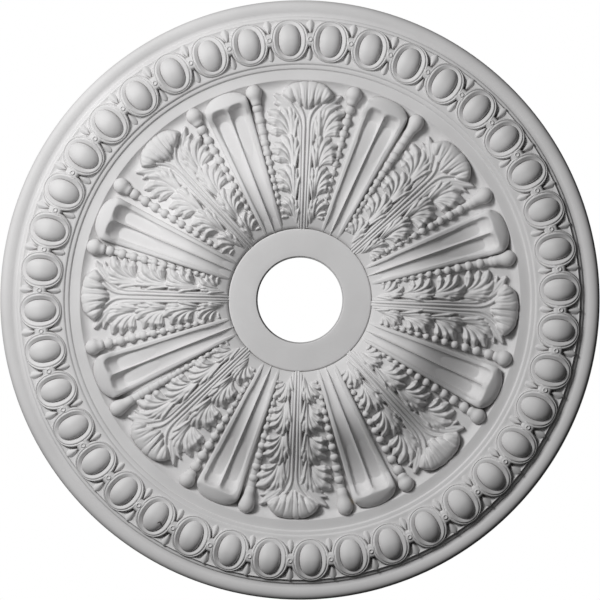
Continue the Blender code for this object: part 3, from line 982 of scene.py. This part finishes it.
def curled_tip(height, side, along, random):
    """The leaf's end, which curls over toward the hole in rounded fingers."""
    off = np.abs(side)
    way = (side > 0).astype(int)
    across_tip = off * (TIP_MIDDLE - TIP_CENTRE) / np.maximum(along - TIP_CENTRE, 1.0)
    shift = random.uniform(*SHIFTS, 2)[way] * ramp(off, *SHIFT_GROWS)
    bend = random.uniform(*BENDS, 2)[way] * np.sin((along - BEND_START) / BEND_LENGTH)
    across_tip = across_tip + bend * ramp(off, *BEND_GROWS) + shift
    folds = np.array(TIP_FOLDS)
    finger = np.clip(np.searchsorted(folds, across_tip, side="right") - 1, 0, len(folds) - 2)
    middle = 0.5 * (folds[finger] + folds[finger + 1])
    across = np.clip((across_tip - middle) / (0.5 * (folds[finger + 1] - folds[finger])), -1, 1)
    front = FRONT[0] + FRONT[1] * off - FRONT[2] * off**2 + FRONT_SCALLOP * across**2
    back = BACK_EDGE[0] - BACK_EDGE[1] * (off / TIP_HALF) ** BACK_EDGE[2] - BACK_SCALLOP * across**4
    reach = 0.5 * (back - front) * dome(passed(off, TIP_END, TIP_HALF))
    share = (along - 0.5 * (front + back) + reach) / np.maximum(2 * reach, 0.5)
    inside = (share > 0) & (share < 1) & (off < TIP_HALF)
    rise = dome(1 - np.clip(share / TIP_CREST, 0, 1))
    fall = dome(passed(share, TIP_CREST, 1.0)) ** TIP_FULLNESS
    peak = TIP_HEIGHT * dome(passed(off, TIP_END, TIP_HALF + TIP_BLUNTNESS)) ** TIP_FULLNESS
    deep = random.uniform(*FOLD_DEPTHS, (2, 3))[way, finger]
    lift = random.uniform(*LIFTS, (2, 3))[way, finger]
    fold = deep * (1 - dome(FOLD_ROUND * across)) * (1 - FOLD_FADE * ramp(share, *FOLD_FADES))
    curl = between(TIP_EDGE_HEIGHT, peak + lift, rise * fall) - fold
    spot = random.uniform(*CREASE_PLACES, (2, 3))[way, finger]
    crease = CREASE_DEPTH * np.exp(-(((across - spot) / CREASE_HALF) ** 2))
    crease = crease * ramp(share, *CREASE_STARTS) * (1 - ramp(share, *CREASE_ENDS))
    return np.where(inside, np.maximum(height, curl - crease), height)


def under_leaflets(side, along):
    """The plate, stem and throat that the leaflets stand on."""
    off = np.abs(side)
    top = leaf_top(side, along)
    height = ground(np.hypot(side, along)) - UNDER_GROUND
    plate_half = np.interp(along, PLATE_PLACES, PLATE_HALVES)
    plate = top - PLATE_DROP - PLATE_SLOPE * np.maximum(off - plate_half, 0)
    height = np.maximum(height, np.where(along < PLATE_END, plate, NOWHERE))
    stem_half = between(*STEM_HALVES, ramp(along, *STEM_WIDENS))
    stem = top - STEM_DROP - STEM_SLOPE * np.maximum(off - stem_half, 0)
    height = np.maximum(height, stem - STEM_END_SLOPE * np.maximum(along - STEM_END, 0))
    throat_half = between(*THROAT_HALVES, ramp(along, *THROAT_WIDENS))
    throat = top - THROAT_DROP - THROAT_DEEPER * ramp(along, *THROAT_DEEPENS)
    throat = throat - THROAT_SLOPE * np.maximum(off - throat_half, 0)
    here = (along > THROAT[0]) & (along < THROAT[1])
    return np.where(here, np.maximum(height, throat), height)


def carve_fan(height, side, along, fan, mirror, random):
    """Carves the leaflets of one fan, each from its root by a bow to its tip, with webs between them."""
    eye = np.array(fan["eye"]) + random.uniform(-EYE_SPREAD, EYE_SPREAD, 2)
    kinds = [UPRIGHT] * len(fan["upright"]) + [BROAD] * len(fan["broad"])
    t = np.linspace(0, 1, LEAFLET_POINTS)[:, None]
    before = None
    for index, (tip_side, tip_along, half) in enumerate(fan["upright"] + fan["broad"]):
        kind = kinds[index]
        upright = kind is UPRIGHT
        tip = np.array([tip_side - UPRIGHT_INWARD * upright, tip_along])
        tip = tip + random.uniform(-TIP_SPREAD, TIP_SPREAD, 2)
        root = eye + (ROOT[0] + ROOT_PITCH[0] * index, ROOT[1] + ROOT_PITCH[1] * index)
        bow = between(root, tip, np.array(BOW)) + (0.0, BOW_RISE * index)
        line = (1 - t) ** 2 * root + 2 * t * (1 - t) * bow + t * t * tip
        line = line * (mirror, 1)
        stand = kind["stand"] - UPRIGHT_FALL * index * upright + random.uniform(*STANDS)
        width = half * random.uniform(*BREADTHS) * kind["broader"]
        reach = half + STROKE_REACH
        carve(height, side, along, line, leaflet_profile(width, stand, kind, mirror), reach)
        if before is not None:
            carve(height, side, along, 0.5 * (line + before)[:WEB_POINTS], web_profile(half), reach)
        before = line


def leaf_height(side, along, random):
    """The height of one leaf over a grid of points, with small differences between leaves."""
    height = under_leaflets(side, along)
    for mirror in (-1, 1):
        for fan in LEAF_FANS[::-1]:
            carve_fan(height, side, along, fan, mirror, random)
        for ribbon, stand, end_half in zip(RIBBONS, RIBBON_STANDS, RIBBON_END_HALVES):
            line = through(np.array(ribbon) * (mirror, 1), RIBBON_POINTS)
            carve(height, side, along, line, ribbon_profile(stand, end_half), RIBBON_REACH)
        for start, end in RIBS:
            sides = (start, between(start, end, RIB_BEND), end)
            line = np.array(list(zip(sides, RIB_PLACES))) * (mirror, 1)
            carve(height, side, along, line, rib_profile(RIB_STAND - RIB_LOWER * end), RIB_REACH)
        for fan in LEAF_FANS[1:]:
            at_side, at_along = fan["eye"]
            shift = random.uniform(-DENT_SHIFT, DENT_SHIFT)
            line = np.array([(share * at_side, at_along + back) for share, back in DENT_ENDS])
            away, _ = nearest(side, along - shift, line * (mirror, 1))
            height = height - DENT_DEPTH * np.exp(-((away / DENT_HALF) ** 2))
    height = curled_tip(height, side, along, random)
    return soften(height)


def soften(height):
    """Blurs the grid a little, as paint and moulding do."""
    padded = np.pad(height, ((1, 1), (0, 0)), "edge")
    height = 0.5 * height + 0.25 * (padded[:-2] + padded[2:])
    padded = np.pad(height, ((0, 0), (1, 1)), "edge")
    return 0.5 * height + 0.25 * (padded[:, :-2] + padded[:, 2:])


def add_leaf(index, material):
    along = np.linspace(LEAF_START, LEAF_END, LEAF_ROWS)[:, None]
    half = between(*LEAF_HALVES, passed(along, *LEAF_WIDENS))
    side = half * np.linspace(-1, 1, LEAF_COLUMNS)[None, :]
    along = along + 0 * side
    random = np.random.default_rng(40 + index)
    height = leaf_height(side, along, random)
    low = ground(np.hypot(side, along))
    shown = height > low + GROUND_GAP
    height = np.where(shown, height, low - EDGE_DROP)
    least_start = LEAF_COLUMNS // 2 - LEAST_COLUMNS
    least_end = LEAF_COLUMNS // 2 + LEAST_COLUMNS
    starts, ends = [], []
    for row in shown:
        columns = [least_start, least_end, *np.flatnonzero(row)]
        starts.append(max(min(columns) - 1, 0))
        ends.append(min(max(columns) + 1, LEAF_COLUMNS - 1))
    build = Build()
    angle = index * SECTOR + math.radians(LEAF_DRIFT[index])
    build.add(*slab(side, along, height, angle, np.array(starts), np.array(ends)))
    build.piece(f"leaf_{index + 1}", material)


# Two small flaws: a hairline crack on one egg and a yellowed spot on the ground by a leaf. An arm of the
# crack is (radius, angle, the way it runs, half its length), with both angles in degrees.
CRACK_ARMS = ((262.1, 300.2, 154.0, 1.7), (262.4, 299.6, 67.0, 2.8))
CRACK_HALF_WIDTH = 0.5
CRACK_SOFTNESS = 0.5
CRACK_COLOUR = (0.06, 0.05, 0.045, 1)
CRACK_DEPTH = 0.030
STAIN_RADIUS = 208.0
STAIN_ANGLE = math.radians(253.2)
STAIN_TURN = 0.6
STAIN_HALVES = (3.2, 2.0)
STAIN_SOFTNESS = 0.8
STAIN_COLOUR = (0.62, 0.56, 0.46, 1)
STAIN_DEPTH = 0.010

# The primer's finish. Each stop of a colour ramp is (position, colour).
ROUGHNESS = 0.62
SPECULAR = 0.25
CLOUD_SCALE, CLOUD_DETAIL = 14.0, 4.0
CLOUD_STOPS = ((0.35, (0.695, 0.688, 0.689, 1)), (0.65, (0.745, 0.738, 0.739, 1)))
# The last three set the painted shade: ambient occlusion within this reach darkens the primer's colour in
# hollows and creases, through these colour stops.
HOLLOW_REACH = 0.007
HOLLOW_SAMPLES = 6
HOLLOW_SHADE_STOPS = ((0.10, (0.34, 0.325, 0.32, 1)), (0.46, (1, 1, 1, 1)))
GRAIN_SCALE, GRAIN_DETAIL = 1100.0, 3.0
GRAIN_STRENGTH = 0.10
GRAIN_HEIGHT = 0.0005


def add_material():
    """White primer on the casting: faint mottling, a fine grain, and painted shade that darkens the hollows.
    """
    material = bpy.data.materials.new("white_primer")
    material.use_nodes = True
    nodes, links = material.node_tree.nodes, material.node_tree.links
    shader = nodes["Principled BSDF"]
    shader.inputs["Roughness"].default_value = ROUGHNESS
    shader.inputs["Specular IOR Level"].default_value = SPECULAR
    where = nodes.new("ShaderNodeTexCoord")

    def noise(scale, detail):
        node = nodes.new("ShaderNodeTexNoise")
        node.inputs["Scale"].default_value = scale
        node.inputs["Detail"].default_value = detail
        links.new(where.outputs["Object"], node.inputs["Vector"])
        return node.outputs["Fac"]

    def coloured(factor, stops):
        node = nodes.new("ShaderNodeValToRGB")
        for element, (position, colour) in zip(node.color_ramp.elements, stops):
            element.position = position
            element.color = colour
        links.new(factor, node.inputs["Fac"])
        return node.outputs["Color"]

    def spot(radius, angle, depth, turn, halves, softness):
        """1 inside a small oval on the casting's face and 0 outside it."""
        place = nodes.new("ShaderNodeMapping")
        place.vector_type = "TEXTURE"
        x, y = radius * math.cos(angle) * STEP, radius * math.sin(angle) * STEP
        place.inputs["Location"].default_value = (x, y, -depth)
        place.inputs["Rotation"].default_value = (0, 0, turn)
        place.inputs["Scale"].default_value = (halves[0] * STEP, halves[1] * STEP, 0.5 * depth)
        links.new(where.outputs["Object"], place.inputs["Vector"])
        length = nodes.new("ShaderNodeVectorMath")
        length.operation = "LENGTH"
        links.new(place.outputs["Vector"], length.inputs[0])
        fade = nodes.new("ShaderNodeMapRange")
        fade.inputs["From Min"].default_value = 1.0 + softness
        fade.inputs["From Max"].default_value = 1.0 - softness
        links.new(length.outputs["Value"], fade.inputs["Value"])
        return fade.outputs["Result"]

    def mixed(kind, factor, under, over):
        mix = nodes.new("ShaderNodeMix")
        mix.data_type = "RGBA"
        mix.blend_type = kind
        for name, value in (("Factor", factor), ("A", under), ("B", over)):
            if hasattr(value, "is_linked"):
                links.new(value, mix.inputs[name])
            else:
                mix.inputs[name].default_value = value
        return mix.outputs["Result"]

    # Painted shade: ambient occlusion darkens the base colour in hollows, creases and between pieces, where
    # less light reaches.
    hollow = nodes.new("ShaderNodeAmbientOcclusion")
    hollow.inputs["Distance"].default_value = HOLLOW_REACH
    hollow.samples = HOLLOW_SAMPLES
    clouds = coloured(noise(CLOUD_SCALE, CLOUD_DETAIL), CLOUD_STOPS)
    hollow_shade = coloured(hollow.outputs["AO"], HOLLOW_SHADE_STOPS)
    colour = mixed("MULTIPLY", 1.0, clouds, hollow_shade)
    stain = spot(STAIN_RADIUS, STAIN_ANGLE, STAIN_DEPTH, STAIN_TURN, STAIN_HALVES, STAIN_SOFTNESS)
    colour = mixed("MIX", stain, colour, STAIN_COLOUR)
    for radius, angle, turn, reach in CRACK_ARMS:
        angle, turn = math.radians(angle), math.radians(turn)
        crack = spot(radius, angle, CRACK_DEPTH, turn, (reach, CRACK_HALF_WIDTH), CRACK_SOFTNESS)
        colour = mixed("MIX", crack, colour, CRACK_COLOUR)
    links.new(colour, shader.inputs["Base Color"])
    bump = nodes.new("ShaderNodeBump")
    bump.inputs["Strength"].default_value = GRAIN_STRENGTH
    bump.inputs["Distance"].default_value = GRAIN_HEIGHT
    links.new(noise(GRAIN_SCALE, GRAIN_DETAIL), bump.inputs["Height"])
    links.new(bump.outputs["Normal"], shader.inputs["Normal"])
    return material


# The camera looks straight up at the rose, turned as the photograph is. RIM_SHARE is the share of the
# picture that the rim fills.
CAMERA_DISTANCE = 3.4
SENSOR = 36.0
RIM_SHARE = 299.7 / 300
DESIGN_TURN = math.radians(2.2)

# Lights are (name, elevation, distance, size, power), all from one side. The back has a light of its own.
LIGHT_AZIMUTH = math.radians(141)
LIGHTS = (
    ("key", math.radians(45), 1.9, 0.5, 26.5),
    ("fill", math.radians(68), 0.75, 0.45, 0.85),
)
BACK_LIGHT_PLACE = (0.6, -0.8, 2.2)
BACK_LIGHT_SIZE = 1.2
BACK_LIGHT_POWER = 14.0
WORLD_LIGHT = 0.007
FLOOR_DEPTH = 4.2
FLOOR_REACH = 7.0
FLOOR_COLOUR = (0.78, 0.78, 0.77, 1)
FLOOR_ROUGHNESS = 0.8


def add_camera():
    camera = bpy.data.cameras.new("camera")
    camera.sensor_width = SENSOR
    rim_distance = CAMERA_DISTANCE - (BAND_DEPTH + EDGE_HEIGHT * STEP)
    camera.lens = SENSOR * rim_distance / (2 * RIM_REACH) * RIM_SHARE
    made = bpy.data.objects.new("camera", camera)
    facing = Matrix(((-1, 0, 0), (0, 1, 0), (0, 0, -1)))
    roll = Matrix.Rotation(DESIGN_TURN, 3, "Z")
    made.matrix_world = Matrix.Translation((0, 0, -CAMERA_DISTANCE)) @ (facing @ roll).to_4x4()
    bpy.context.scene.collection.objects.link(made)
    bpy.context.scene.camera = made
    return made


def add_area(name, place, size, power):
    """A round light, aimed at the middle of the rose and unseen itself."""
    light = bpy.data.lights.new(name, "AREA")
    light.shape = "DISK"
    light.size = size
    light.energy = power
    made = bpy.data.objects.new(name, light)
    made.location = place
    made.rotation_euler = (-Vector(place)).to_track_quat("-Z", "Y").to_euler()
    made.visible_camera = False
    bpy.context.scene.collection.objects.link(made)


def add_lights(camera):
    for name, elevation, distance, size, power in LIGHTS:
        flat = math.cos(elevation)
        seen = Vector((flat * math.cos(LIGHT_AZIMUTH), flat * math.sin(LIGHT_AZIMUTH), math.sin(elevation)))
        add_area(name, camera.matrix_world.to_3x3() @ seen * distance, size, power)
    add_area("back_fill", BACK_LIGHT_PLACE, BACK_LIGHT_SIZE, BACK_LIGHT_POWER)
    world = bpy.data.worlds.new("studio")
    bpy.context.scene.world = world
    world.use_nodes = True
    nodes, links = world.node_tree.nodes, world.node_tree.links
    lit = nodes["Background"]
    lit.inputs["Color"].default_value = (1, 1, 1, 1)
    lit.inputs["Strength"].default_value = WORLD_LIGHT
    white = nodes.new("ShaderNodeBackground")
    white.inputs["Color"].default_value = (1, 1, 1, 1)
    path = nodes.new("ShaderNodeLightPath")
    mix = nodes.new("ShaderNodeMixShader")
    links.new(path.outputs["Is Camera Ray"], mix.inputs[0])
    links.new(lit.outputs["Background"], mix.inputs[1])
    links.new(white.outputs["Background"], mix.inputs[2])
    links.new(mix.outputs["Shader"], nodes["World Output"].inputs["Surface"])
    bpy.context.scene.view_settings.view_transform = "Standard"


def add_floor():
    mesh = bpy.data.meshes.new("floor")
    reach = FLOOR_REACH
    corners = [(x * reach, y * reach, -FLOOR_DEPTH) for x, y in ((-1, -1), (1, -1), (1, 1), (-1, 1))]
    mesh.from_pydata(corners, [], [(0, 1, 2, 3)])
    material = bpy.data.materials.new("pale_floor")
    material.use_nodes = True
    shader = material.node_tree.nodes["Principled BSDF"]
    shader.inputs["Base Color"].default_value = FLOOR_COLOUR
    shader.inputs["Roughness"].default_value = FLOOR_ROUGHNESS
    mesh.materials.append(material)
    made = bpy.data.objects.new("floor", mesh)
    bpy.context.scene.collection.objects.link(made)


camera = add_camera()
add_lights(camera)
add_floor()
primer = add_material()
body = add_body(primer)
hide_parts("ceiling_rose")
add_eggs(primer)
add_collars(primer)
add_darts(primer)
add_lobes(primer)
add_beads(primer)
for leaf in range(LEAVES):
    add_leaf(leaf, primer)
